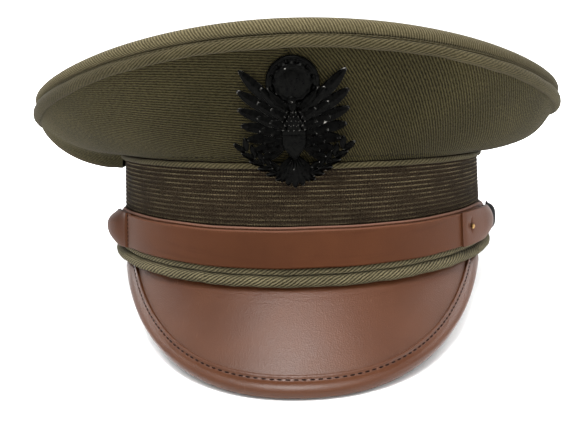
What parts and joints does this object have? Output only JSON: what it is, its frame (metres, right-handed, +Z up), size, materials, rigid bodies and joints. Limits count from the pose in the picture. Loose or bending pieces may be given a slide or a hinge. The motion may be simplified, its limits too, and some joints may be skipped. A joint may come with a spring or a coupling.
{
  "type": "visor cap",
  "caption": "Peaked service cap with a wide olive cloth crown, ribbed band, brown leather chin strap, buttons, stitched leather visor and a dark metal badge.",
  "frame": {"origin": "on the surface the cap stands on, under the middle of its bounding box", "axes": "+Z up, -Y towards the visor's tip, +X to the right as seen from the front; the cap is tilted back about 8 degrees, as it rests on its visor's tip and the band's rear edge"},
  "size_m": [0.2496, 0.2798, 0.1284],
  "materials": {
    "olive_cloth": "ribbed wool twill",
    "light_olive_cloth": "wool twill over cord",
    "braid": "ribbed braid",
    "strap_leather": "smooth brown leather",
    "visor_leather": "satin brown leather",
    "dark_metal": "blackened metal",
    "brass": "dull brass"
  },
  "bodies": {
    "root": {"crown_top": "light_olive_cloth", "crown_piping": "light_olive_cloth", "quarter_front_left": "olive_cloth", "quarter_front_right": "olive_cloth", "quarter_back_left": "olive_cloth", "quarter_back_right": "olive_cloth", "band_top_welt": "light_olive_cloth", "band": "braid", "welt_fold": "light_olive_cloth", "welt_cord": "light_olive_cloth", "strap_inner": "strap_leather", "strap_outer": "strap_leather", "keeper_left": "strap_leather", "keeper_right": "strap_leather", "keeper_stud": "brass", "button_left": "dark_metal", "button_right": "dark_metal", "visor": "visor_leather", "visor_binding": "visor_leather", "badge": "dark_metal", "badge_nut": "dark_metal"}
  },
  "joints": []
}
